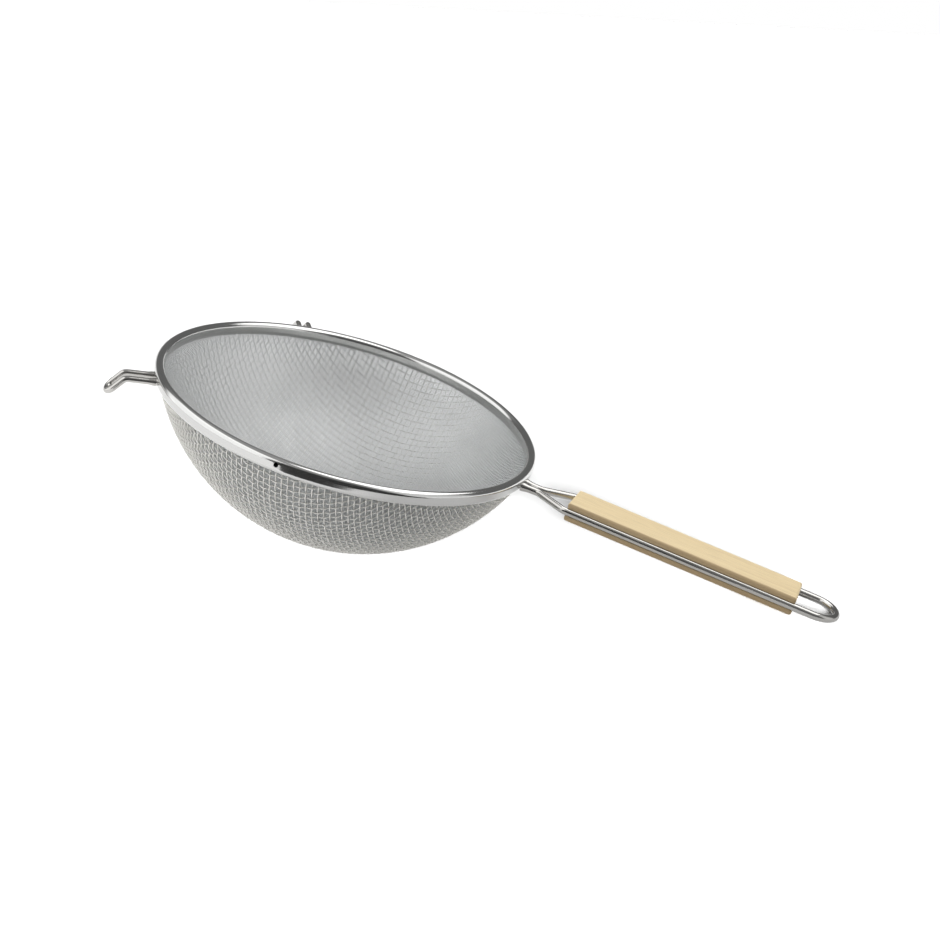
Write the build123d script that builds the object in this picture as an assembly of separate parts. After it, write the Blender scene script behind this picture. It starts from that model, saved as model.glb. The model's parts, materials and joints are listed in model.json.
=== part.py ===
from build123d import *

import math
import os

# A double-mesh bowl strainer with a wooden grip, lying as it rests on a table, in millimetres.
# Each piece is made in the bowl's own frame, with the bowl's axis on Z, the middle of the rim's
# height at Z = 0 and the handle along +X. Then everything is laid down on the bowl's round
# bottom and the tip of the hanging loop, so that the table is Z = 0.

# Rim band: a strip of sheet rolled into a hollow oval, with a slot below for the mesh edges
rim_diameter = 260.0
rim_width = 6.7
rim_height = 9.5
rim_wall = 0.8
vent_diameter = 3.0
vent_rise = 0.8
vent_azimuth = 274.0

# Bowl: two layers of woven wire, drawn together into one round bowl. The cells of the net stand
# for many meshes each, and a share is an opening's side over its cell's side.
bowl_depth = 92.7
outer_mesh_thickness = 1.7
inner_mesh_thickness = 0.9
mesh_tuck = 3.5
net_cells_across = 12
net_border = 4.0
shortest_cell = 12.0
outer_opening_share = 0.8
inner_opening_share = 0.58

# Handle wire: one wire bent to a long loop, with both ends welded to the rim's outer face
handle_wire_diameter = 5.0
handle_drop = 3.4
weld_spacing = 7.4
neck_spacing = 5.5
neck_reach = 10.5
neck_bend = 8.0
shoulder_bend = 6.0
shoulder_run = 2.0

# Grip: one bar of wood, held by the two legs of the handle wire in a groove along each side
grip_start = 33.2
grip_length = 153.8
grip_width = 28.7
grip_thickness = 12.6
grip_edge_round = 1.6
wire_sink = 0.8
loop_reach = 28.0
groove_clearance = 0.05

# Rest hooks: two short wire loops on the far side that hang the bowl on the rim of a pot
hook_wire_diameter = 4.2
hook_run = 18.2
hook_bend = 5.0
hook_bend_angle = 48.0
hook_nose = 14.8
left_hook_azimuth = 215.5
left_hook_rise = -3.0
left_hook_leg_spacing = 10.4
right_hook_azimuth = 127.9
right_hook_rise = 8.6
right_hook_leg_spacing = 7.7

# How far a wire's end reaches into the rim's outline before it is trimmed to its outer face
weld_depth = 1.4

# How far a cut runs past the face that it goes through
overrun = 1.0

# Places and sizes that follow from the ones above
rim_radius = rim_diameter / 2
rim_middle_radius = rim_radius - rim_width / 2
bowl_below_rim = bowl_depth - rim_height / 2
bowl_radius = (rim_middle_radius**2 + bowl_below_rim**2) / (2 * bowl_below_rim)
bowl_centre_height = bowl_radius - bowl_depth
mesh_edge_height = mesh_tuck - rim_height / 2
mesh_edge_angle = math.acos((bowl_centre_height - mesh_edge_height) / bowl_radius)
net_top = -rim_height / 2 - net_border
wire_radius = handle_wire_diameter / 2
leg_side = grip_width / 2 - wire_sink
loop_tip = rim_radius + grip_start + grip_length + loop_reach - wire_radius


def rim_outline(inset):
    """The rim's oval section, standing beside the bowl's axis and drawn in from its outer face."""
    oval = SlotOverall(rim_height - 2 * inset, rim_width - 2 * inset, rotation=90)
    return Plane.XZ * Pos(rim_middle_radius, 0) * oval


def mesh_layer(outside_radius, thickness):
    """One drawn layer of mesh: a ball-shaped shell, open at the level of the mesh's cut edge."""

    def side(radius):
        edge_angle = math.degrees(math.asin((mesh_edge_height - bowl_centre_height) / radius))
        return CenterArc((0, bowl_centre_height), radius, -90, 90 + edge_angle)

    outside = side(outside_radius)
    inside = side(outside_radius - thickness)
    cut_edge = Line(outside @ 1, inside @ 1)
    pole = Line(outside @ 0, inside @ 0)
    section = make_face([outside, cut_edge, inside, pole])
    return revolve(Plane.XZ * section, Axis.Z)


def wire_along(path, diameter):
    """A round wire of the given diameter along a smooth path."""
    section = Plane(origin=path @ 0, z_dir=path % 0) * Circle(diameter / 2)
    return sweep(section, path=path)


def net_quarter():
    """The corners of the drawn net's cells in one quarter of the bowl, as unit vectors.

    Along X and along Y they lie one cell apart, counted from the lowest point. Each further one is
    the corner diagonally before it, turned half round about the middle of the two beside it, so
    that all cells keep equal sides and shear into diamonds, as a drawn cloth's do.
    """
    reach = net_cells_across // 2
    step = mesh_edge_angle / reach
    corners = {}
    for k in range(reach + 1):
        corners[k, 0] = Vector(math.sin(k * step), 0, -math.cos(k * step))
        corners[0, k] = Vector(0, math.sin(k * step), -math.cos(k * step))
    for i in range(1, reach + 1):
        for j in range(1, reach + 1):
            before = corners[i - 1, j - 1]
            between = (corners[i - 1, j] + corners[i, j - 1]).normalized()
            corners[i, j] = between * 2 * before.dot(between) - before
    return corners


def cell_cutter(cell, outside_radius, thickness, opening_share):
    """A block through one cell of a mesh, tapered towards the ball's centre."""
    middle = (cell[0] + cell[1] + cell[2] + cell[3]).normalized()
    in_plane = [middle + (corner / corner.dot(middle) - middle) * opening_share for corner in cell]
    lowest = min(corner.dot(middle) for corner in cell)
    near = (outside_radius - thickness) * lowest - overrun
    far = outside_radius + overrun
    ends = [make_face(Polyline(*[point * reach for point in in_plane], close=True)) for reach in (near, far)]
    return Pos(0, 0, bowl_centre_height) * loft(ends, ruled=True)


def open_net(outside_radius, thickness, opening_share):
    """A mesh layer with one opening in each cell of the net, up to a plain border at the rim.

    The border trims the cells that it crosses, and those that would be too short stay closed.
    """
    corners = net_quarter()
    below_border = Pos(0, 0, net_top) * Box(
        rim_diameter, rim_diameter, bowl_depth, align=(Align.CENTER, Align.CENTER, Align.MAX)
    )
    cutters = []
    for i in range(net_cells_across // 2):
        for j in range(net_cells_across // 2):
            cell = [corners[i, j], corners[i + 1, j], corners[i + 1, j + 1], corners[i, j + 1]]
            lowest = bowl_centre_height + outside_radius * min(corner.Z for corner in cell)
            if lowest < net_top - shortest_cell:
                block = below_border & cell_cutter(cell, outside_radius, thickness, opening_share)
                cutters += [Rot(0, 0, quarter * 90) * block for quarter in range(4)]
    return mesh_layer(outside_radius, thickness) - cutters


def make_outer_mesh():
    """The coarse, strong mesh, outermost."""
    return open_net(bowl_radius, outer_mesh_thickness, outer_opening_share)


def make_inner_mesh():
    """The fine mesh, lying against the coarse one all over."""
    return open_net(bowl_radius - outer_mesh_thickness, inner_mesh_thickness, inner_opening_share)


def make_rim_band():
    """The hollow rim, with the slot that both mesh edges enter and one hole that lets water out."""
    tube = revolve(rim_outline(0), Axis.Z) - revolve(rim_outline(rim_wall), Axis.Z)
    both_meshes = mesh_layer(bowl_radius, outer_mesh_thickness + inner_mesh_thickness)
    drill_length = rim_width / 2 + overrun
    drill = Pos(rim_middle_radius, 0, vent_rise) * Rot(0, 90, 0) * Cylinder(
        vent_diameter / 2, drill_length, align=(Align.CENTER, Align.CENTER, Align.MIN)
    )
    return tube - both_meshes - Rot(0, 0, vent_azimuth) * drill


def trimmed_to_rim(wire):
    """A wire whose end is cut to lie against the rim's outer face."""
    return wire - revolve(rim_outline(0), Axis.Z)


def make_handle_wire():
    """Two legs that leave the rim close together, spread to the grip's sides and join in a loop."""

    def leg(side):
        return FilletPolyline(
            (rim_radius - weld_depth, side * weld_spacing / 2, -handle_drop),
            (rim_radius + neck_reach, side * neck_spacing / 2, -handle_drop),
            (rim_radius + grip_start - shoulder_run, side * leg_side, -handle_drop),
            (loop_tip - leg_side, side * leg_side, -handle_drop),
            radius=[neck_bend, shoulder_bend],
        )

    near_leg = leg(-1)
    far_leg = leg(1)
    loop = ThreePointArc(near_leg @ 1, (loop_tip, 0, -handle_drop), far_leg @ 1)
    path = Wire([*near_leg.edges(), *loop.edges(), *far_leg.edges()])
    return trimmed_to_rim(wire_along(path, handle_wire_diameter))


def make_wood_grip():
    """The bar between the two legs of wire, which lie in a round-bottomed groove on each side."""
    bar = Box(grip_length, grip_width, grip_thickness)
    bar = fillet(bar.edges(), grip_edge_round)
    groove_radius = wire_radius + groove_clearance
    groove_length = grip_length + 2 * overrun
    groove = Rot(0, 90, 0) * Cylinder(groove_radius, groove_length)
    groove += Pos(0, wire_radius, 0) * Box(groove_length, 2 * wire_radius, 2 * groove_radius)
    bar -= Pos(0, leg_side, 0) * groove
    bar -= Rot(0, 0, 180) * Pos(0, leg_side, 0) * groove
    return Pos(rim_radius + grip_start + grip_length / 2, 0, -handle_drop) * bar


def make_rest_hook(azimuth, rise, leg_spacing):
    """A wire loop that leaves the rim on its own radius and turns down to a round, closed nose."""
    half = leg_spacing / 2
    slope = math.radians(hook_bend_angle)

    def down_nose(distance, side):
        along = hook_run + distance * math.cos(slope)
        return (along, side * half, -distance * math.sin(slope))

    def leg(side):
        return FilletPolyline(
            (-weld_depth, side * half, 0),
            (hook_run, side * half, 0),
            down_nose(hook_nose - half, side),
            radius=hook_bend,
        )

    near_leg = leg(-1)
    far_leg = leg(1)
    nose = ThreePointArc(near_leg @ 1, down_nose(hook_nose, 0), far_leg @ 1)
    path = Wire([*near_leg.edges(), *nose.edges(), *far_leg.edges()])
    loop = wire_along(path, hook_wire_diameter)
    root = Pos(rim_radius, 0, -handle_drop) * Rot(0, -rise, 0)
    return trimmed_to_rim(Rot(0, 0, azimuth) * root * loop)


def resting_place(pieces):
    """Where the bowl's frame lies once the strainer rests on its bowl and on its loop's tip.

    The lean is the angle at which the ball of the bowl and the wire of the loop's tip touch one
    level plane. The origin is on that plane, below the middle of the whole object's box.
    """
    rise = bowl_centre_height + handle_drop
    span = math.hypot(loop_tip, rise)
    lean = math.asin((bowl_radius - wire_radius) / span) - math.atan2(rise, loop_tip)
    laid = Rot(0, math.degrees(lean), 0)
    box = Compound([laid * piece for piece in pieces]).bounding_box()
    middle = box.center()
    return Pos(-middle.X, -middle.Y, -box.min.Z) * laid


def make_all():
    """Every piece by its name, in the bowl's frame."""
    return {
        "rim_band": make_rim_band(),
        "outer_mesh": make_outer_mesh(),
        "inner_mesh": make_inner_mesh(),
        "handle_wire": make_handle_wire(),
        "wood_grip": make_wood_grip(),
        "left_rest_hook": make_rest_hook(left_hook_azimuth, left_hook_rise, left_hook_leg_spacing),
        "right_rest_hook": make_rest_hook(right_hook_azimuth, right_hook_rise, right_hook_leg_spacing),
    }


pieces = make_all()
placed = resting_place(list(pieces.values()))

os.makedirs("parts", exist_ok=True)
for name, piece in pieces.items():
    export_step(placed * piece, f"parts/{name}.step")
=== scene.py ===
import json
import math

import bpy
import numpy as np
from mathutils import Matrix, Vector


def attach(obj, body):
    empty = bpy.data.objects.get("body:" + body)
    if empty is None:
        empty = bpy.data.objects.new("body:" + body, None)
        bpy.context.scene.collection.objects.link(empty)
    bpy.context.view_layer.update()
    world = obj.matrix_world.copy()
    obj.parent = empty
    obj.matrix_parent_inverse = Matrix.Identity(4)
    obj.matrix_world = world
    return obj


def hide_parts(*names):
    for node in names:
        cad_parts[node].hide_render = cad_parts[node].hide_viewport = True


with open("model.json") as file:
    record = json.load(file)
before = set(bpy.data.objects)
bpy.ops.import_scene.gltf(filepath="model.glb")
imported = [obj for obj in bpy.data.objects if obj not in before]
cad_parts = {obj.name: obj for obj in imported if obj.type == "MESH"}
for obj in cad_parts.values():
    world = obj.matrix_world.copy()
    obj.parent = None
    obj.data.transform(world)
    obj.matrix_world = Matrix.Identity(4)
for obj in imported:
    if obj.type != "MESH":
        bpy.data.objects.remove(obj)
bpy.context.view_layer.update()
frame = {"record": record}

# Rim band: a strip of stainless sheet rolled into a hollow oval and polished. The edges of both
# meshes sit in the slot along its lower inside. One small hole lets wash water out.
RIM_RADIUS = 130.0
RIM_WIDTH = 6.7
RIM_HEIGHT = 9.5
RIM_WALL = 0.8
RIM_MIDDLE = RIM_RADIUS - RIM_WIDTH / 2
SLOT_START = math.radians(-130)
RIM_STATIONS = 540
RIM_OUTLINE_STATIONS = 44
VENT_RADIUS = 1.5
VENT_AZIMUTH = math.radians(274.0)
VENT_RISE = 0.8
VENT_SQUARE = 1.2
VENT_SPREAD = 3.0
VENT_STEPS = 20
VENT_CLEAR_AROUND, VENT_CLEAR_OVER = 0.5, 0.2
LEAST_DISTANCE = 1e-6
RIM_GRAIN = 3.0

# Every piece is made in the bowl's own frame, in millimetres, with the bowl's axis on Z and the
# handle along X, and then laid down as the strainer rests on the table.
mouth = next(m for m in frame["record"]["mounts"] if m["name"] == "bowl_mouth")
MOUTH_CENTRE = np.array(mouth["pos_m"])
BOWL_AXIS = np.array(mouth["axis"])
HANDLE_WAY = np.array([BOWL_AXIS[2], 0.0, -BOWL_AXIS[0]])
BOWL_TURN = np.array([HANDLE_WAY, [0.0, 1.0, 0.0], BOWL_AXIS])


def laid_down(points):
    """Bowl-frame millimetres to table-frame metres: turn by the lean, then add the mouth's centre."""
    return MOUTH_CENTRE + points / 1000 @ BOWL_TURN


def unit(vectors):
    """Each vector divided by its own length."""
    return vectors / np.linalg.norm(vectors, axis=-1, keepdims=True)


def finished_piece(name, points, faces, grain, material, slot, *nodes, sharp=40):
    """A mesh from an array of points and arrays of faces, one array for each number of corners.

    The grain attribute is each point's place along and across the metal or wood, for the finish.
    """
    mesh = bpy.data.meshes.new(name)
    corners = np.concatenate([f.ravel() for f in faces]).astype(np.int32)
    sizes = np.concatenate([np.full(len(f), f.shape[1], np.int32) for f in faces])
    mesh.vertices.add(len(points))
    mesh.vertices.foreach_set("co", laid_down(points).astype(np.float32).ravel())
    mesh.loops.add(len(corners))
    mesh.loops.foreach_set("vertex_index", corners)
    mesh.polygons.add(len(sizes))
    mesh.polygons.foreach_set("loop_start", (np.cumsum(sizes) - sizes).astype(np.int32))
    mesh.update(calc_edges=True)
    mesh.attributes.new("grain", "FLOAT_VECTOR", "POINT")
    mesh.attributes["grain"].data.foreach_set("vector", grain.astype(np.float32).ravel())
    mesh.polygons.foreach_set("use_smooth", np.ones(len(sizes), bool))
    mesh.set_sharp_from_angle(angle=math.radians(sharp))
    mesh.validate()
    mesh.materials.append(material)
    piece = bpy.data.objects.new(name, mesh)
    bpy.context.scene.collection.objects.link(piece)
    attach(piece, "root")
    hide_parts(*nodes)


def oval(share, inset):
    """A stadium outline: half circle below, straight side, half circle above, straight side.

    The share runs from 0 at the slot's outer lip, up the outside and over, to 1 at the inner lip.
    """
    radius = RIM_WIDTH / 2 - inset
    straight = RIM_HEIGHT - RIM_WIDTH
    turn = RIM_WIDTH / 2 * math.pi / 2
    ends = np.cumsum([0, turn, straight, 2 * turn, straight, turn + RIM_WIDTH / 2 * SLOT_START + turn])
    way = share * ends[-1]
    run = [np.clip(way - ends[k], 0, ends[k + 1] - ends[k]) for k in range(5)]
    angle = -math.pi / 2 + (run[0] + run[2] + run[4]) / (RIM_WIDTH / 2)
    across = RIM_MIDDLE + radius * np.cos(angle)
    height = radius * np.sin(angle) - straight / 2 + run[1] - run[3]
    return across, height, way


def round_hole(along, across, square, spread, radius):
    """Moves a grid so that a square hole in it turns round: the square's edge goes to the circle,
    the grid past the spread stays, and what lies between is blended from one to the other."""
    reach = np.maximum(np.abs(along), np.abs(across))
    distance = np.maximum(np.hypot(along, across), LEAST_DISTANCE)
    keep = np.clip((reach - square) / (spread - square), 0, 1)
    scale = keep + (1 - keep) * radius / distance
    inside = reach < spread
    return np.where(inside, along * scale, along), np.where(inside, across * scale, across)


def walled_sheet(rows, columns, kept):
    """Faces of a sheet with thickness whose last row joins its first: outer cells, the same cells
    inside turned round, and a wall along every edge where a kept cell has no kept neighbour. The
    inner points follow the outer."""
    inner = rows * columns
    number = np.arange(inner).reshape(rows, columns)
    number = np.concatenate([number, number[:1]])
    a, b = number[:-1, :-1][kept], number[1:, :-1][kept]
    c, d = number[1:, 1:][kept], number[:-1, 1:][kept]
    outer_faces = np.stack([a, b, c, d], 1)
    inner_faces = np.stack([d, c, b, a], 1) + inner
    walls = []
    padded = np.pad(kept, ((0, 0), (1, 1)))
    padded = np.pad(padded, ((1, 1), (0, 0)), mode="wrap")
    for start, end, row, column in ((a, b, 1, 0), (b, c, 2, 1), (c, d, 1, 2), (d, a, 0, 1)):
        beside = padded[row : row + kept.shape[0], column : column + kept.shape[1]]
        edge = ~beside[kept]
        walls.append(np.stack([end[edge], start[edge], start[edge] + inner, end[edge] + inner], 1))
    return np.concatenate([outer_faces, inner_faces, *walls])


def shader(name):
    """A material with one Principled shader, and its tree's nodes and links."""
    material = bpy.data.materials.new(name)
    material.use_nodes = True
    return material, material.node_tree.nodes, material.node_tree.links


STREAK_DETAIL = 3
WEAR_SCALE = 45
LEAST_WORKED, MOST_WORKED = 0.12, 0.42


def polish_group():
    """Drawn or buffed metal: long streaks along the grain and broad, faint wear, as a value for
    the roughness and one for the height."""
    group = bpy.data.node_groups.new("worked_metal", "ShaderNodeTree")
    face = group.interface
    for label in ("Streak scale", "Smoothest", "Roughest"):
        face.new_socket(name=label, in_out="INPUT", socket_type="NodeSocketFloat")
    for label in ("Roughness", "Height"):
        face.new_socket(name=label, in_out="OUTPUT", socket_type="NodeSocketFloat")
    nodes, links = group.nodes, group.links
    given, made = nodes.new("NodeGroupInput"), nodes.new("NodeGroupOutput")
    grain = nodes.new("ShaderNodeAttribute")
    grain.attribute_name = "grain"
    streaks = nodes.new("ShaderNodeTexNoise")
    streaks.inputs["Detail"].default_value = STREAK_DETAIL
    links.new(grain.outputs["Vector"], streaks.inputs["Vector"])
    links.new(given.outputs["Streak scale"], streaks.inputs["Scale"])
    place = nodes.new("ShaderNodeTexCoord")
    wear = nodes.new("ShaderNodeTexNoise")
    wear.inputs["Scale"].default_value = WEAR_SCALE
    links.new(place.outputs["Object"], wear.inputs["Vector"])
    both = nodes.new("ShaderNodeMath")
    both.operation = "MULTIPLY"
    links.new(streaks.outputs["Fac"], both.inputs[0])
    links.new(wear.outputs["Fac"], both.inputs[1])
    spread = nodes.new("ShaderNodeMapRange")
    spread.inputs["From Min"].default_value = LEAST_WORKED
    spread.inputs["From Max"].default_value = MOST_WORKED
    links.new(both.outputs["Value"], spread.inputs["Value"])
    links.new(given.outputs["Smoothest"], spread.inputs["To Min"])
    links.new(given.outputs["Roughest"], spread.inputs["To Max"])
    links.new(spread.outputs["Result"], made.inputs["Roughness"])
    links.new(streaks.outputs["Fac"], made.inputs["Height"])
    return group


WORKED_METAL = polish_group()
METAL_BUMP = 0.3


def metal(name, colour, streak_scale, smoothest, roughest, depth):
    """Bare metal: one colour, with the worked finish in its roughness and in a bump whose depth is
    in millimetres."""
    material, nodes, links = shader(name)
    principled = nodes["Principled BSDF"]
    principled.inputs["Base Color"].default_value = (*colour, 1)
    principled.inputs["Metallic"].default_value = 1
    worked = nodes.new("ShaderNodeGroup")
    worked.node_tree = WORKED_METAL
    worked.inputs["Streak scale"].default_value = streak_scale
    worked.inputs["Smoothest"].default_value = smoothest
    worked.inputs["Roughest"].default_value = roughest
    bump = nodes.new("ShaderNodeBump")
    bump.inputs["Strength"].default_value = METAL_BUMP
    bump.inputs["Distance"].default_value = depth / 1000
    links.new(worked.outputs["Roughness"], principled.inputs["Roughness"])
    links.new(worked.outputs["Height"], bump.inputs["Height"])
    links.new(bump.outputs["Normal"], principled.inputs["Normal"])
    return material


def vent_place(whole):
    """The share of the oval's outline where the vent's centre is: its rise above mid-height."""
    turn = RIM_WIDTH / 2 * math.pi / 2
    return (turn + (RIM_HEIGHT - RIM_WIDTH) / 2 + VENT_RISE) / whole


def make_rim():
    """The oval carried round the bowl's axis, as the wall's outer and inner face, with the vent hole
    through the wall: finer rows round it, its middle cells left out and their edge made round."""
    fine = np.linspace(-VENT_SPREAD, VENT_SPREAD, VENT_STEPS + 1)
    azimuth = np.arange(RIM_STATIONS) / RIM_STATIONS * 2 * math.pi
    beside_vent = np.abs(azimuth - VENT_AZIMUTH) * RIM_RADIUS
    azimuth = azimuth[beside_vent > VENT_SPREAD + VENT_CLEAR_AROUND]
    azimuth = np.sort(np.concatenate([azimuth, VENT_AZIMUTH + fine / RIM_RADIUS]))
    whole = oval(np.array([1.0]), 0)[2][0]
    share = np.linspace(0, 1, RIM_OUTLINE_STATIONS)
    vent_share = vent_place(whole)
    share = share[np.abs(share - vent_share) * whole > VENT_SPREAD + VENT_CLEAR_OVER]
    share = np.sort(np.concatenate([share, vent_share + fine / whole]))
    around, way = np.meshgrid(azimuth, share, indexing="ij")
    x = (around - VENT_AZIMUTH) * RIM_RADIUS
    y = (way - vent_share) * whole
    centre_x = (x[1:, 1:] + x[:-1, :-1]) / 2
    centre_y = (y[1:, 1:] + y[:-1, :-1]) / 2
    kept = np.maximum(np.abs(centre_x), np.abs(centre_y)) > VENT_SQUARE
    kept = np.concatenate([kept, np.ones((1, kept.shape[1]), bool)])
    x, y = round_hole(x, y, VENT_SQUARE, VENT_SPREAD, VENT_RADIUS)
    around, way = VENT_AZIMUTH + x / RIM_RADIUS, np.clip(vent_share + y / whole, 0, 1)
    layers = []
    for inset in (0, RIM_WALL):
        across, height, along = oval(way, inset)
        layers.append(np.stack([across * np.cos(around), across * np.sin(around), height], -1))
    points = np.concatenate([layer.reshape(-1, 3) for layer in layers])
    circle = RIM_GRAIN * np.cos(around), RIM_GRAIN * np.sin(around)
    grain = np.stack([*circle, along], -1).reshape(-1, 3)
    faces = walled_sheet(*around.shape, kept)
    steel = metal(
        "polished_rim_steel", (0.60, 0.60, 0.59),
        streak_scale=2.2, smoothest=0.07, roughest=0.16, depth=0.012,
    )
    finished_piece("rim", points, [faces], np.tile(grain, (2, 1)), steel, "rim_steel", "rim_band")


make_rim()

# Coarse mesh: plain-woven stainless wire cloth, about six wires to the inch, drawn over a ball so
# that its squares shear into diamonds. It carries the bowl's load and is clamped in the rim.
BOWL_DEPTH = 92.7
BOWL_BELOW_RIM = BOWL_DEPTH - RIM_HEIGHT / 2
BOWL_RADIUS = (RIM_MIDDLE**2 + BOWL_BELOW_RIM**2) / (2 * BOWL_BELOW_RIM)
BALL_HEIGHT = BOWL_RADIUS - BOWL_DEPTH
CLOTH_TURN = math.radians(0.5)
CLOTH_EDGE_HEIGHT = -1.4
NET_REACH = 1.35
CLOTH_GRAIN_STEP, CLOTH_GRAIN_SHIFT = 0.2, 7.0
COARSE_PITCH = (3.9, 4.65)
COARSE_WIRE = 0.85


def drawn_net(steps, reach, turn):
    """The crossings of a cloth drawn over a ball without stretching its wires, as unit vectors.

    Along two great circles through the lowest point they lie one step apart, each way its own
    step. Each further one is the crossing diagonally before it, turned half round about the middle
    between the two crossings beside it, so that the sides of every diamond keep their lengths.
    """
    along, across = steps[0] * np.arange(reach + 1), steps[1] * np.arange(reach + 1)
    quarter = np.zeros((reach + 1, reach + 1, 3))
    quarter[:, 0] = np.stack([np.sin(along), 0 * along, -np.cos(along)], 1)
    quarter[0, :] = np.stack([0 * across, np.sin(across), -np.cos(across)], 1)
    for total in range(2, 2 * reach + 1):
        i = np.arange(max(1, total - reach), min(reach, total - 1) + 1)
        j = total - i
        before, middle = quarter[i - 1, j - 1], unit(quarter[i - 1, j] + quarter[i, j - 1])
        quarter[i, j] = 2 * np.sum(before * middle, 1, keepdims=True) * middle - before
    half = np.concatenate([(quarter * [-1, 1, 1])[:0:-1], quarter])
    whole = np.concatenate([(half * [1, -1, 1])[:, :0:-1], half], 1)
    cos, sin = math.cos(turn), math.sin(turn)
    return whole @ np.array([[cos, sin, 0], [-sin, cos, 0], [0, 0, 1]])


def wires_of_cloth(net, radius, crimp, samples, first):
    """The centre lines of one set of wires: straight over the ball from crossing to crossing, and
    out and in by the crimp as a cosine, so that each wire goes over one neighbour and under the
    next. The net's first axis counts the wires."""
    wires, crossings = net.shape[:2]
    share = np.arange(samples)[None, None, :, None] / samples
    lines = net[:, :-1, None] * (1 - share) + net[:, 1:, None] * share
    outward = unit(lines).reshape(wires, -1, 3)
    phase = np.arange((crossings - 1) * samples) / samples
    wave = np.cos(math.pi * phase)[None] * (-1.0) ** (np.arange(wires)[:, None] + first)
    place = outward * (radius + crimp * wave)[..., None] + [0, 0, BALL_HEIGHT]
    return place, outward


def round_wires(place, outward, radius, sides):
    """A round tube along the part of each row of points that lies below the cloth's edge, with
    closed ends. Each ring lies across the line's own direction, and its sides are counted from
    outwards. The finish moves on from point to point and jumps from wire to wire."""
    direction = unit(np.gradient(place, axis=1))
    across = unit(np.cross(direction, outward))
    up = np.cross(across, direction)
    angle = np.arange(sides) / sides * 2 * math.pi
    ring = np.cos(angle)[:, None] * up[:, :, None] + np.sin(angle)[:, None] * across[:, :, None]
    points = place[:, :, None] + radius * ring
    kept = place[..., 2] < CLOTH_EDGE_HEIGHT
    number = np.cumsum(kept).reshape(kept.shape) - 1
    joined = kept[:, :-1] & kept[:, 1:]
    a, b = number[:, :-1][joined][:, None] * sides, number[:, 1:][joined][:, None] * sides
    side = np.arange(sides)[None]
    after = (side + 1) % sides
    tubes = np.stack([a + side, a + after, b + after, b + side], -1).reshape(-1, 4)
    before_gap = np.pad(joined, ((0, 0), (1, 0)))
    after_gap = np.pad(joined, ((0, 0), (0, 1)))
    starts = number[kept & ~before_gap][:, None] * sides + side[:, ::-1]
    ends = number[kept & ~after_gap][:, None] * sides + side
    wires, stations = place.shape[:2]
    along = np.arange(stations)[None, :, None] * CLOTH_GRAIN_STEP
    along = along + np.arange(wires)[:, None, None] * CLOTH_GRAIN_SHIFT
    grain = np.stack(np.broadcast_arrays(along, np.cos(angle), np.sin(angle)), -1)
    return points[kept].reshape(-1, 3), tubes, starts, ends, grain[kept].reshape(-1, 3)


def cloth_wires(name, net, radius, wire, samples, sides, first, material, slot, node):
    """One piece of the cloth: a set of neighbouring wires that run the same way."""
    place, outward = wires_of_cloth(net, radius, wire / 2, samples, first)
    points, tubes, starts, ends, grain = round_wires(place, outward, wire / 2, sides)
    finished_piece(name, points, [tubes, starts, ends], grain, material, slot, node, sharp=80)


def make_cloth(name, pitch, wire, radius, samples, sides, turn, pieces, material, slot, node):
    """Warp and weft of one drawn cloth, each in a few pieces of neighbouring wires. A wire has so
    many samples from crossing to crossing and so many sides round it."""
    reach = int(NET_REACH * BOWL_RADIUS / min(pitch))
    net = drawn_net(np.array(pitch) / radius, reach, turn)
    for way, laid in (("warp", net), ("weft", net.transpose(1, 0, 2))):
        cuts = np.linspace(0, len(laid), pieces + 1).astype(int)
        for k in range(pieces):
            rows = laid[cuts[k] : cuts[k + 1]]
            first = cuts[k] + (way == "weft")
            label = f"{name}_{way}_{k + 1}"
            cloth_wires(label, rows, radius, wire, samples, sides, first, material, slot, node)


coarse_steel = metal(
    "coarse_wire_steel", (0.77, 0.76, 0.73),
    streak_scale=1.5, smoothest=0.52, roughest=0.62, depth=0.01,
)
make_cloth(
    "coarse_mesh", COARSE_PITCH, COARSE_WIRE, BOWL_RADIUS - COARSE_WIRE,
    samples=4, sides=6, turn=CLOTH_TURN, pieces=2,
    material=coarse_steel, slot="coarse_mesh_steel", node="outer_mesh",
)

# Fine mesh: a second, finer cloth of the same weave, drawn together with the coarse one and lying
# against its inside. It does the straining.
FINE_PITCH = (1.05, 1.05)
FINE_WIRE = 0.52
TURN_BETWEEN_CLOTHS = math.radians(-2)

fine_steel = metal(
    "fine_wire_steel", (0.69, 0.70, 0.70),
    streak_scale=1.5, smoothest=0.58, roughest=0.7, depth=0.005,
)
make_cloth(
    "fine_mesh", FINE_PITCH, FINE_WIRE, BOWL_RADIUS - 2 * COARSE_WIRE - FINE_WIRE,
    samples=1, sides=3, turn=CLOTH_TURN + TURN_BETWEEN_CLOTHS, pieces=5,
    material=fine_steel, slot="fine_mesh_steel", node="inner_mesh",
)

# Handle wire: one bright-drawn stainless wire. Its two ends are welded side by side to the rim's
# outer face, its legs spread to the sides of the grip, and they join in the loop it hangs by.
HANDLE_WIRE = 5.0
HANDLE_HEIGHT = -3.4
WELD_SIDE = 3.7
NECK_REACH = 10.5
NECK_SIDE = 2.75
NECK_BEND = 8.0
SHOULDER_BEND = 6.0
SHOULDER_RUN = 2.0
GRIP_START = 33.2
GRIP_LENGTH = 153.8
GRIP_WIDTH = 28.7
WIRE_SINK = 0.8
LOOP_REACH = 28.0
LEG_SIDE = GRIP_WIDTH / 2 - WIRE_SINK
LOOP_TIP = RIM_RADIUS + GRIP_START + GRIP_LENGTH + LOOP_REACH - HANDLE_WIRE / 2
WELD_DEPTH = 1.4
WELD_SWELL = 0.24
WELD_RUN = 2.2
WIRE_GRAIN_SCALE, WIRE_GRAIN = 0.05, 3.0
FEWEST_BEND_STEPS = 4
BEND_FINENESS = 2
HANDLE_SPACING = 1.5
LOOP_STEPS = 48


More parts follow.
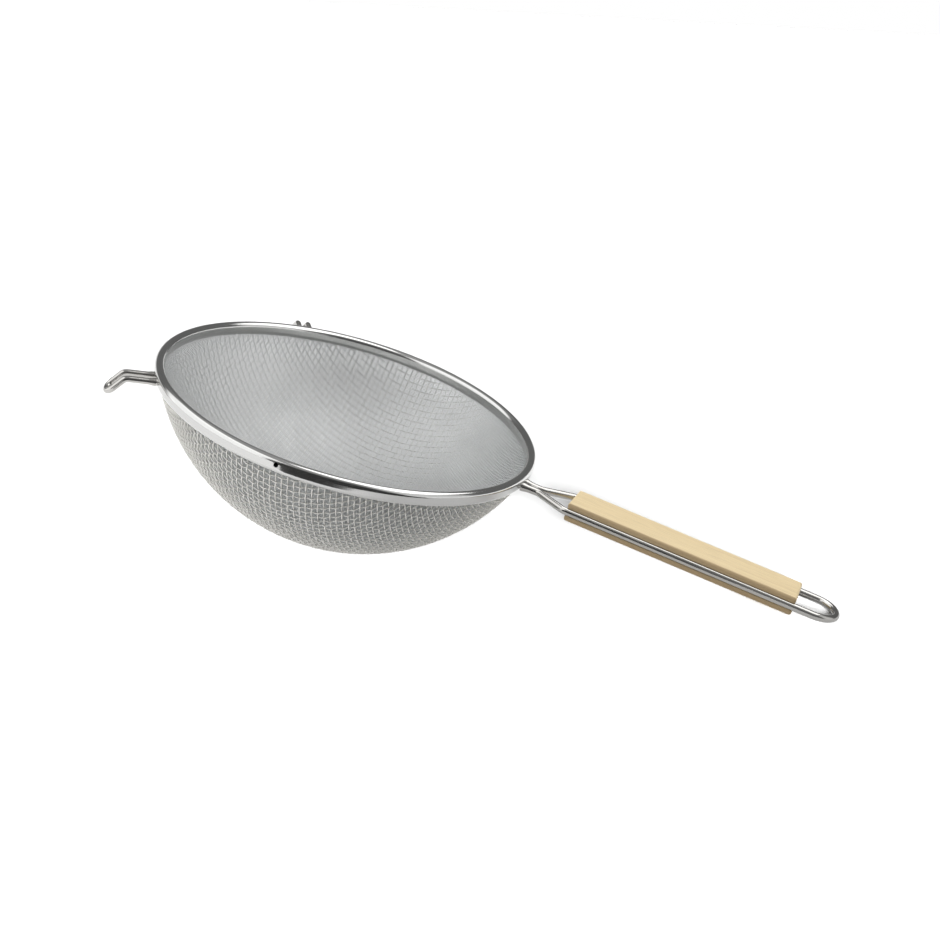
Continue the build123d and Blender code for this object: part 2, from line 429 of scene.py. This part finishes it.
def bent_line(corners, bends, spacing):
    """Points along straight runs joined by arcs that touch them, one bend radius a corner.

    An arc starts before its corner by its radius times the tangent of half the angle turned.
    """
    corners = np.array(corners, float)
    stretches = []
    start = corners[0]
    for before, corner, after, bend in zip(corners, corners[1:], corners[2:], bends):
        arrive, leave = unit(corner - before), unit(after - corner)
        half_angle = math.acos(np.clip(arrive @ leave, -1, 1)) / 2
        reach = bend * math.tan(half_angle)
        first, last = corner - reach * arrive, corner + reach * leave
        stretches.append(straight_run(start, first, spacing))
        centre = first + bend * unit(leave - arrive * (arrive @ leave))
        steps = max(FEWEST_BEND_STEPS, int(2 * half_angle * bend / spacing * BEND_FINENESS))
        turn = np.arange(steps)[:, None] / steps * 2 * half_angle
        stretches.append(centre + (first - centre) * np.cos(turn) + bend * arrive * np.sin(turn))
        start = last
    stretches.append(straight_run(start, corners[-1], spacing))
    return np.concatenate(stretches)


def straight_run(start, end, spacing):
    """Evenly spaced points from the start up to, but without, the end."""
    steps = max(1, int(np.linalg.norm(end - start) / spacing))
    return start + (end - start) * np.arange(steps)[:, None] / steps


def half_turn(start, tip, end, steps):
    """Points round the half circle from start over the tip to the end, both ends among them."""
    centre = (start + end) / 2
    turn = np.linspace(0, math.pi, steps + 1)[:, None]
    return centre + (start - centre) * np.cos(turn) + (tip - centre) * np.sin(turn)


def closed_tube(count, sides):
    """Faces of a tube of so many rings, one after another in the points, and of its two ends."""
    first = np.arange(count - 1)[:, None] * sides
    side = np.arange(sides)[None]
    after = (side + 1) % sides
    tube = np.stack([first + side, first + sides + side, first + sides + after, first + after], -1)
    ends = np.stack([np.arange(sides), np.arange(sides)[::-1] + (count - 1) * sides])
    return [tube.reshape(-1, 4), ends]


def bent_wire(name, line, radius, sides, material, slot, node):
    """A round wire along a line, with closed ends that swell where they are fused to the rim: by
    the swell times e to the minus square of the distance from the weld over the swell's run."""
    direction = unit(np.gradient(line, axis=0))
    up = unit(np.array([0, 0, 1]) - direction[:, 2:] * direction)
    across = np.cross(direction, up)
    way = np.concatenate([[0], np.cumsum(np.linalg.norm(np.diff(line, axis=0), axis=1))])
    to_weld = np.minimum(way, way[-1] - way) - WELD_DEPTH
    swell = 1 + WELD_SWELL * np.exp(-((np.maximum(to_weld, 0) / WELD_RUN) ** 2))
    angle = np.arange(sides) / sides * 2 * math.pi
    ring = np.cos(angle)[:, None] * up[:, None] + np.sin(angle)[:, None] * across[:, None]
    points = line[:, None] + radius * swell[:, None, None] * ring
    along = way[:, None] * WIRE_GRAIN_SCALE
    circle = WIRE_GRAIN * np.cos(angle), WIRE_GRAIN * np.sin(angle)
    grain = np.stack(np.broadcast_arrays(along, *circle), -1).reshape(-1, 3)
    faces = closed_tube(len(line), sides)
    finished_piece(name, points.reshape(-1, 3), faces, grain, material, slot, node)


def handle_leg(side):
    """The line of one leg, from inside the rim's outline to where the loop starts."""
    corners = [
        (RIM_RADIUS - WELD_DEPTH, side * WELD_SIDE, HANDLE_HEIGHT),
        (RIM_RADIUS + NECK_REACH, side * NECK_SIDE, HANDLE_HEIGHT),
        (RIM_RADIUS + GRIP_START - SHOULDER_RUN, side * LEG_SIDE, HANDLE_HEIGHT),
        (LOOP_TIP - LEG_SIDE, side * LEG_SIDE, HANDLE_HEIGHT),
    ]
    return bent_line(corners, [NECK_BEND, SHOULDER_BEND], HANDLE_SPACING)


wire_steel = metal(
    "bright_wire_steel", (0.51, 0.50, 0.48),
    streak_scale=2.0, smoothest=0.12, roughest=0.24, depth=0.01,
)
near_leg, far_leg = handle_leg(-1), handle_leg(1)
loop_start = np.array([LOOP_TIP - LEG_SIDE, -LEG_SIDE, HANDLE_HEIGHT])
loop_tip = np.array([LOOP_TIP, 0, HANDLE_HEIGHT])
loop_turn = half_turn(loop_start, loop_tip, loop_start * [1, -1, 1], LOOP_STEPS)
bent_wire(
    "handle_loop_wire", np.concatenate([near_leg, loop_turn, far_leg[::-1]]), HANDLE_WIRE / 2,
    sides=32, material=wire_steel, slot="wire_steel", node="handle_wire",
)

# Rest hooks: two short loops of thinner wire, welded to the rim on the side away from the handle
# and bent down at the end, so that the bowl hangs in a pot by them.
HOOK_WIRE = 4.2
HOOK_RUN = 18.2
HOOK_BEND = 5.0
HOOK_SLOPE = math.radians(48)
HOOK_NOSE = 14.8
HOOK_SPACING = 1.0
NOSE_STEPS = 32


def rest_hook(name, azimuth, rise, leg_spacing, node):
    """A loop made with its root at the origin, tipped up by its rise and turned to its azimuth."""
    half = leg_spacing / 2

    def down(distance, side):
        along = HOOK_RUN + distance * math.cos(HOOK_SLOPE)
        return np.array([along, side * half, -distance * math.sin(HOOK_SLOPE)])

    def leg(side):
        corners = [(-WELD_DEPTH, side * half, 0), (HOOK_RUN, side * half, 0)]
        return bent_line([*corners, down(HOOK_NOSE - half, side)], [HOOK_BEND], HOOK_SPACING)

    nose_start, nose_end = down(HOOK_NOSE - half, -1), down(HOOK_NOSE - half, 1)
    nose = half_turn(nose_start, down(HOOK_NOSE, 0), nose_end, NOSE_STEPS)
    line = np.concatenate([leg(-1), nose, leg(1)[::-1]])
    cos, sin = math.cos(math.radians(rise)), math.sin(math.radians(rise))
    line = line @ np.array([[cos, 0, sin], [0, 1, 0], [-sin, 0, cos]])
    line = line + [RIM_RADIUS, 0, HANDLE_HEIGHT]
    cos, sin = math.cos(math.radians(azimuth)), math.sin(math.radians(azimuth))
    line = line @ np.array([[cos, sin, 0], [-sin, cos, 0], [0, 0, 1]])
    bent_wire(
        name, line, HOOK_WIRE / 2,
        sides=28, material=wire_steel, slot="wire_steel", node=node,
    )


rest_hook("left_hook_wire", azimuth=215.5, rise=-3.0, leg_spacing=10.4, node="left_rest_hook")
rest_hook("right_hook_wire", azimuth=127.9, rise=8.6, leg_spacing=7.7, node="right_rest_hook")

# Grip: one bar of pale, close-grained wood, sanded and left bare. A groove along each side takes
# a leg of the handle wire, whose spring holds the bar.
GRIP_THICKNESS = 12.6
GRIP_ROUND = 1.6
GROOVE_PLAY = 0.05
GROOVE_RADIUS = HANDLE_WIRE / 2 + GROOVE_PLAY
GROOVE_LIP = 0.3
SHARPEST_CORNER = 0.15
GROOVE_STEPS, LIP_STEPS, CORNER_STEPS, FLAT_STEPS, END_STEPS = 12, 6, 8, 7, 8
FLAT_START = 0.85
GRIP_STATIONS = 90


def arc(centre_y, centre_z, radius, start, end, steps):
    """Points of an arc in the bar's section, angles in degrees from the Y axis."""
    angle = np.radians(np.linspace(start, end, steps))
    return np.stack([centre_y + radius * np.cos(angle), centre_z + radius * np.sin(angle)], 1)


def grip_section(inset):
    """The bar's outline, drawn in by the inset: from the bottom of a groove round its lip, up the
    side, over the rounded corner and to the middle of the flat face, and the same mirrored."""
    side, top = GRIP_WIDTH / 2 - inset, GRIP_THICKNESS / 2 - inset
    groove, corner = GROOVE_RADIUS + inset, max(GRIP_ROUND - inset, SHARPEST_CORNER)
    flat = np.linspace((side - corner) * FLAT_START, 0, FLAT_STEPS)
    quarter = np.concatenate([
        arc(LEG_SIDE, 0, groove, 180, 90, GROOVE_STEPS),
        arc(side - GROOVE_LIP, groove + GROOVE_LIP, GROOVE_LIP, -90, 0, LIP_STEPS),
        arc(side - corner, top - corner, corner, 0, 90, CORNER_STEPS),
        np.stack([flat, np.full(FLAT_STEPS, top)], 1),
    ])
    half = np.concatenate([quarter, (quarter * [-1, 1])[-2::-1]])
    return np.concatenate([half, (half * [1, -1])[-2:0:-1]])


GRAIN_STRETCH = (0.018, 1, 1)
BAND_SCALE, BAND_DETAIL, BAND_DISTORTION = 0.32, 5, 0.4
PORE_SCALE, PORE_DETAIL = 3.2, 4
DARKER_BAND, DARKER_FROM = (0.79, 0.62, 0.36), 0.3
PALER_BAND, PALER_FROM = (0.89, 0.73, 0.45), 0.72
PORE_RANGE, PORE_TONE = (0.3, 0.5), 0.80
# Painted shade: the darker brown that the bar's two sides are multiplied by.
SIDE_SHADE_TONE = (0.47, 0.43, 0.39)
PORE_ROUGHNESS, WOOD_ROUGHNESS = 0.62, 0.48
WOOD_BUMP, WOOD_BUMP_DEPTH = 0.35, 0.00012


def wood():
    """Pale wood: soft growth bands and short, dark pores that run along the bar, and painted shade on
    its two sides, a browner tone which the grain attribute marks by its place across the bar."""
    material, nodes, links = shader("pale_grip_wood")
    principled = nodes["Principled BSDF"]
    grain = nodes.new("ShaderNodeAttribute")
    grain.attribute_name = "grain"
    stretch = nodes.new("ShaderNodeMapping")
    stretch.inputs["Scale"].default_value = GRAIN_STRETCH
    links.new(grain.outputs["Vector"], stretch.inputs["Vector"])
    bands = nodes.new("ShaderNodeTexNoise")
    bands.inputs["Scale"].default_value = BAND_SCALE
    bands.inputs["Detail"].default_value = BAND_DETAIL
    bands.inputs["Distortion"].default_value = BAND_DISTORTION
    links.new(stretch.outputs["Vector"], bands.inputs["Vector"])
    pores = nodes.new("ShaderNodeTexNoise")
    pores.inputs["Scale"].default_value = PORE_SCALE
    pores.inputs["Detail"].default_value = PORE_DETAIL
    links.new(stretch.outputs["Vector"], pores.inputs["Vector"])
    tone = nodes.new("ShaderNodeValToRGB")
    darker, paler = tone.color_ramp.elements
    darker.position, darker.color = DARKER_FROM, (*DARKER_BAND, 1)
    paler.position, paler.color = PALER_FROM, (*PALER_BAND, 1)
    links.new(bands.outputs["Fac"], tone.inputs["Fac"])
    dark = nodes.new("ShaderNodeMapRange")
    dark.inputs["From Min"].default_value, dark.inputs["From Max"].default_value = PORE_RANGE
    dark.inputs["To Min"].default_value = PORE_TONE
    links.new(pores.outputs["Fac"], dark.inputs["Value"])
    colour = nodes.new("ShaderNodeVectorMath")
    colour.operation = "SCALE"
    links.new(tone.outputs["Color"], colour.inputs[0])
    links.new(dark.outputs["Result"], colour.inputs["Scale"])
    across = nodes.new("ShaderNodeSeparateXYZ")
    links.new(grain.outputs["Vector"], across.inputs["Vector"])
    side = nodes.new("ShaderNodeMath")
    side.operation = "ABSOLUTE"
    links.new(across.outputs["Y"], side.inputs[0])
    # Painted shade: darkens the bar's two sides, which lie farthest across the bar from its middle.
    edge = nodes.new("ShaderNodeMapRange")
    edge.interpolation_type = "SMOOTHSTEP"
    edge.inputs["From Min"].default_value = GRIP_WIDTH / 2 - GRIP_ROUND
    edge.inputs["From Max"].default_value = GRIP_WIDTH / 2 - GRIP_ROUND / 4
    links.new(side.outputs["Value"], edge.inputs["Value"])
    shaded_sides = nodes.new("ShaderNodeMix")
    shaded_sides.data_type, shaded_sides.blend_type = "RGBA", "MULTIPLY"
    shaded_sides.inputs["B"].default_value = (*SIDE_SHADE_TONE, 1)
    links.new(edge.outputs["Result"], shaded_sides.inputs["Factor"])
    links.new(colour.outputs["Vector"], shaded_sides.inputs["A"])
    links.new(shaded_sides.outputs["Result"], principled.inputs["Base Color"])
    rough = nodes.new("ShaderNodeMapRange")
    rough.inputs["To Min"].default_value = PORE_ROUGHNESS
    rough.inputs["To Max"].default_value = WOOD_ROUGHNESS
    links.new(pores.outputs["Fac"], rough.inputs["Value"])
    links.new(rough.outputs["Result"], principled.inputs["Roughness"])
    bump = nodes.new("ShaderNodeBump")
    bump.inputs["Strength"].default_value = WOOD_BUMP
    bump.inputs["Distance"].default_value = WOOD_BUMP_DEPTH
    links.new(pores.outputs["Fac"], bump.inputs["Height"])
    links.new(bump.outputs["Normal"], principled.inputs["Normal"])
    return material


def make_grip():
    """The section carried along the bar and drawn in over a quarter circle at both ends."""
    turn = np.radians(np.linspace(0, 90, END_STEPS))
    to_middle = np.linspace(GRIP_ROUND, GRIP_LENGTH / 2, GRIP_STATIONS + 1)[1:]
    place = np.concatenate([GRIP_ROUND * (1 - np.cos(turn)), to_middle])
    inset = np.concatenate([GRIP_ROUND * (1 - np.sin(turn)), 0 * to_middle])
    inset = np.concatenate([inset, inset[-2::-1]])
    place = np.concatenate([place, GRIP_LENGTH - place[-2::-1]])
    rings = []
    for along, drawn_in in zip(place, inset):
        section = grip_section(drawn_in)
        rings.append(np.column_stack([np.full(len(section), along), section]))
    grain = np.concatenate(rings)
    points = grain + [RIM_RADIUS + GRIP_START, 0, HANDLE_HEIGHT]
    faces = closed_tube(len(rings), len(rings[0]))
    finished_piece("grip_bar", points, faces, grain, wood(), "grip_wood", "wood_grip", sharp=50)


make_grip()

# Table and studio: a pale table top that runs out of view, lit white by a low key light of its own,
# in a dull grey room with a large soft panel at the left, a smaller one at the right, a low strip
# behind and a softbox overhead. The polished metal mirrors them, and a black card in front that only
# mirrors see: a painted dark reflection standing in for the dark room on the camera's side.
TABLE_HALF = 12.0
TABLE_ROUGHNESS = 0.8
# The table's tone for the camera; its two tones for all else, a painted shade and the plain tone;
# the radii in metres between which the first of those goes over to the second, and the middle and
# stretch of these circles
TABLE_SEEN = 0.4
TABLE_SHADE_TO_PLAIN = 0.22, 0.4
TABLE_SHADE_RADII = 0.1, 0.24
TABLE_SHADE_MIDDLE, TABLE_SHADE_STRETCH = (0.16, -0.08), 1.8
KEY_PLACE = (-72, 17.5)
KEY_STRENGTH = 24.0
KEY_ANGLE = 10


def heading(azimuth, elevation):
    """The unit vector that points at an azimuth from the handle's side and an elevation."""
    a, e = math.radians(azimuth), math.radians(elevation)
    return Vector((math.cos(a) * math.cos(e), math.sin(a) * math.cos(e), math.sin(e)))


def table():
    """A level square without sheen, and the key light, which falls on nothing else. The camera sees one
    tone. All else sees painted shade in an ellipse around and in front of the strainer, growing brighter
    outward to the plain tone at a larger one."""
    mesh = bpy.data.meshes.new("table_top")
    corners = np.array([(-1, -1, 0), (1, -1, 0), (1, 1, 0), (-1, 1, 0)]) * TABLE_HALF
    mesh.from_pydata(corners.tolist(), [], [(0, 1, 2, 3)])
    material, nodes, links = shader("pale_table")
    principled = nodes["Principled BSDF"]
    principled.inputs["Roughness"].default_value = TABLE_ROUGHNESS
    principled.inputs["Specular IOR Level"].default_value = 0
    place, shade_ellipse = nodes.new("ShaderNodeTexCoord"), nodes.new("ShaderNodeMapping")
    shade_ellipse.inputs["Location"].default_value = (-TABLE_SHADE_MIDDLE[0] / TABLE_SHADE_STRETCH, -TABLE_SHADE_MIDDLE[1], 0)
    shade_ellipse.inputs["Scale"].default_value[0] = 1 / TABLE_SHADE_STRETCH
    reach = nodes.new("ShaderNodeVectorMath")
    reach.operation = "LENGTH"
    links.new(place.outputs["Object"], shade_ellipse.inputs["Vector"])
    links.new(shade_ellipse.outputs["Vector"], reach.inputs[0])
    # Painted shade on the table around and in front of the strainer, seen only by reflections and bounce
    # light.
    painted_table_shade = nodes.new("ShaderNodeMapRange")
    painted_table_shade.inputs["From Min"].default_value, painted_table_shade.inputs["From Max"].default_value = TABLE_SHADE_RADII
    painted_table_shade.inputs["To Min"].default_value, painted_table_shade.inputs["To Max"].default_value = TABLE_SHADE_TO_PLAIN
    links.new(reach.outputs["Value"], painted_table_shade.inputs["Value"])
    rays = nodes.new("ShaderNodeLightPath")
    tone = nodes.new("ShaderNodeMix")
    tone.inputs["B"].default_value = TABLE_SEEN
    links.new(painted_table_shade.outputs["Result"], tone.inputs["A"])
    links.new(rays.outputs["Is Camera Ray"], tone.inputs["Factor"])
    links.new(tone.outputs["Result"], principled.inputs["Base Color"])
    mesh.materials.append(material)
    piece = bpy.data.objects.new("table_top", mesh)
    bpy.context.scene.collection.objects.link(piece)
    lit = bpy.data.collections.new("lit_by_key")
    lit.objects.link(piece)
    data = bpy.data.lights.new("table_key", "SUN")
    data.energy, data.angle = KEY_STRENGTH, math.radians(KEY_ANGLE)
    key = bpy.data.objects.new("table_key", data)
    bpy.context.scene.collection.objects.link(key)
    key.rotation_mode = "QUATERNION"
    key.rotation_quaternion = heading(*KEY_PLACE).to_track_quat("Z", "Y")
    key.light_linking.receiver_collection = lit


# The card's near and far radius, how high it lies, and the height of its top by azimuth
CARD_REACH = 0.26, 0.3
CARD_LIFT = 0.001
CARD_TOP = ((-97, 0.15), (-90, 0.2), (-75, 0.24), (-60, 0.22), (-50, 0.17), (-40, 0.08), (-28, 0.03))
CARD_STEPS = 40
CARD_BLACK, CARD_ROUGHNESS = (0.05, 0.05, 0.05), 0.9


def dark_reflection_card():
    """A card bent round the bowl's front that only mirroring sees, a painted dark reflection of the dark
    room on the camera's side: it lies on the table from its near to its far radius and then stands up,
    to a height that changes with the azimuth."""
    row = CARD_STEPS + 1
    azimuth = np.linspace(CARD_TOP[0][0], CARD_TOP[-1][0], row)
    top = np.interp(azimuth, *np.transpose(CARD_TOP))
    turn = np.radians(azimuth)
    outward = np.stack([np.cos(turn), np.sin(turn), 0 * turn], 1)
    middle = [MOUTH_CENTRE[0], MOUTH_CENTRE[1], CARD_LIFT]
    near, far = (outward * radius + middle for radius in CARD_REACH)
    points = np.concatenate([near, far, far + top[:, None] * [0, 0, 1]])
    lying = np.arange(CARD_STEPS)[:, None] + [0, 1, row + 1, row]
    mesh = bpy.data.meshes.new("dark_reflection_card")
    mesh.from_pydata(points.tolist(), [], np.concatenate([lying, lying + row]).tolist())
    material, nodes, _ = shader("dark_reflection_card")
    principled = nodes["Principled BSDF"]
    principled.inputs["Base Color"].default_value = (*CARD_BLACK, 1)
    principled.inputs["Roughness"].default_value = CARD_ROUGHNESS
    mesh.materials.append(material)
    card = bpy.data.objects.new("dark_reflection_card", mesh)
    bpy.context.scene.collection.objects.link(card)
    # Painted dark reflection: the card casts no shadow and no light, and the camera doesn't see it.
    card.visible_camera = card.visible_diffuse = card.visible_shadow = False


# Each panel's azimuth, elevation, half angles across and up, and radiance
PANELS = (
    (-145, 28, 40, 42, 1.3),
    (-5, 12, 22, 40, 0.7),
    (135, 0, 46, 11, 0.95),
)
PANEL_EDGE = 0.12
LEAST_AHEAD = 0.01
ROOM_DULL, ROOM_CEILING = 0.17, 0.42
CEILING_BLEND = 0.6, 0.9


def joined(nodes, links, operation, first, second=0.0):
    """One math step: between two sockets, between a socket and a number, or of one socket."""
    step = nodes.new("ShaderNodeMath")
    step.operation = operation
    for place, value in enumerate((first, second)):
        if isinstance(value, bpy.types.NodeSocket):
            links.new(value, step.inputs[place])
        else:
            step.inputs[place].default_value = value
    return step.outputs["Value"]


def panel_mask(nodes, links, way, azimuth, elevation, half_width, half_height):
    """How far a direction lies inside a soft-edged rectangle that faces the table: its offsets
    across and up, over its distance ahead, against the tangents of the half angles."""
    ahead = heading(azimuth, elevation)
    side = Vector((-math.sin(math.radians(azimuth)), math.cos(math.radians(azimuth)), 0))
    dots = []
    for axis in (ahead, side, ahead.cross(side)):
        dot = nodes.new("ShaderNodeVectorMath")
        dot.operation = "DOT_PRODUCT"
        dot.inputs[1].default_value = axis
        links.new(way, dot.inputs[0])
        dots.append(dot.outputs["Value"])
    mask = joined(nodes, links, "GREATER_THAN", dots[0], LEAST_AHEAD)
    for offset, half in ((dots[1], half_width), (dots[2], half_height)):
        reach = joined(nodes, links, "DIVIDE", offset, dots[0])
        reach = joined(nodes, links, "ABSOLUTE", reach)
        edge = nodes.new("ShaderNodeMapRange")
        edge.interpolation_type = "SMOOTHSTEP"
        tangent = math.tan(math.radians(half))
        edge.inputs["From Min"].default_value = tangent + PANEL_EDGE
        edge.inputs["From Max"].default_value = tangent - PANEL_EDGE
        links.new(reach, edge.inputs["Value"])
        mask = joined(nodes, links, "MULTIPLY", mask, edge.outputs["Result"])
    return mask


def surround():
    """The studio round the table: white for the camera, and for all else a dull room, brighter
    towards its ceiling, with the light of each panel added where its mask is."""
    world = bpy.data.worlds.new("studio")
    bpy.context.scene.world = world
    world.use_nodes = True
    nodes, links = world.node_tree.nodes, world.node_tree.links
    nodes.clear()
    way = nodes.new("ShaderNodeTexCoord").outputs["Generated"]
    parts = nodes.new("ShaderNodeSeparateXYZ")
    links.new(way, parts.inputs["Vector"])
    height = nodes.new("ShaderNodeMapRange")
    height.interpolation_type = "SMOOTHSTEP"
    height.inputs["From Min"].default_value, height.inputs["From Max"].default_value = CEILING_BLEND
    height.inputs["To Min"].default_value = ROOM_DULL
    height.inputs["To Max"].default_value = ROOM_CEILING
    links.new(parts.outputs["Z"], height.inputs["Value"])
    light = height.outputs["Result"]
    for azimuth, elevation, half_width, half_height, radiance in PANELS:
        mask = panel_mask(nodes, links, way, azimuth, elevation, half_width, half_height)
        light = joined(nodes, links, "ADD", light, joined(nodes, links, "MULTIPLY", mask, radiance))
    room, seen = nodes.new("ShaderNodeBackground"), nodes.new("ShaderNodeBackground")
    links.new(light, room.inputs["Strength"])
    room.inputs["Color"].default_value = (1, 1, 1, 1)
    seen.inputs["Color"].default_value = (1, 1, 1, 1)
    rays = nodes.new("ShaderNodeLightPath")
    both = nodes.new("ShaderNodeMixShader")
    links.new(rays.outputs["Is Camera Ray"], both.inputs["Fac"])
    links.new(room.outputs["Background"], both.inputs[1])
    links.new(seen.outputs["Background"], both.inputs[2])
    made = nodes.new("ShaderNodeOutputWorld")
    links.new(both.outputs["Shader"], made.inputs["Surface"])


SOFTBOX_PLACE = (0.25, 0.15, 0.6)
SOFTBOX_SIZE = (0.6, 0.6)
SOFTBOX_RADIANCE = 1.85


def overhead():
    """A softbox that hangs level over the handle's end and a little behind it, unseen by the camera.
    Its power is its radiance times pi times its area."""
    data = bpy.data.lights.new("overhead", "AREA")
    data.shape, data.size, data.size_y = "RECTANGLE", *SOFTBOX_SIZE
    data.energy = SOFTBOX_RADIANCE * math.pi * SOFTBOX_SIZE[0] * SOFTBOX_SIZE[1]
    box = bpy.data.objects.new("overhead", data)
    bpy.context.scene.collection.objects.link(box)
    box.location = SOFTBOX_PLACE
    box.visible_camera = False


table()
surround()
dark_reflection_card()
overhead()
bpy.context.scene.view_settings.view_transform = "Standard"

# Camera: the photograph's own view, worked out in the bowl's frame from the rim's ellipse, the
# grip's edges and the loop's tip.
VIEW_TARGET = np.array([97.05, -21.06, 0.0])
VIEW_DISTANCE = 977.4
VIEW_AZIMUTH = math.radians(-77.23)
VIEW_ELEVATION = math.radians(22.38)
VIEW_ROLL = math.radians(17.91)
FOCAL_PIXELS = 1523.49
LONG_SIDE_PIXELS = 941
SENSOR = 36.0
NEAR_CLIP, FAR_CLIP = 0.01, 100


def add_camera():
    """The camera stands at the view's distance from its target and looks at it, rolled about the
    line between them. Its lens is the focal length in pixels times the sensor over the long side."""
    flat = math.cos(VIEW_ELEVATION)
    ground = math.cos(VIEW_AZIMUTH) * flat, math.sin(VIEW_AZIMUTH) * flat
    back = np.array([*ground, math.sin(VIEW_ELEVATION)])
    level = unit(np.cross([0, 0, 1], back))
    up = np.cross(back, level)
    right = level * math.cos(VIEW_ROLL) + up * math.sin(VIEW_ROLL)
    top = up * math.cos(VIEW_ROLL) - level * math.sin(VIEW_ROLL)
    place = laid_down(VIEW_TARGET + VIEW_DISTANCE * back)
    turn = np.stack([right, top, back]) @ BOWL_TURN
    data = bpy.data.cameras.new("photo_view")
    data.sensor_width = SENSOR
    data.lens = FOCAL_PIXELS * SENSOR / LONG_SIDE_PIXELS
    data.clip_start, data.clip_end = NEAR_CLIP, FAR_CLIP
    camera = bpy.data.objects.new("photo_view", data)
    bpy.context.scene.collection.objects.link(camera)
    matrix = np.eye(4)
    matrix[:3, :3] = turn.T
    matrix[:3, 3] = place
    camera.matrix_world = Matrix(matrix.tolist())
    bpy.context.scene.camera = camera


add_camera()
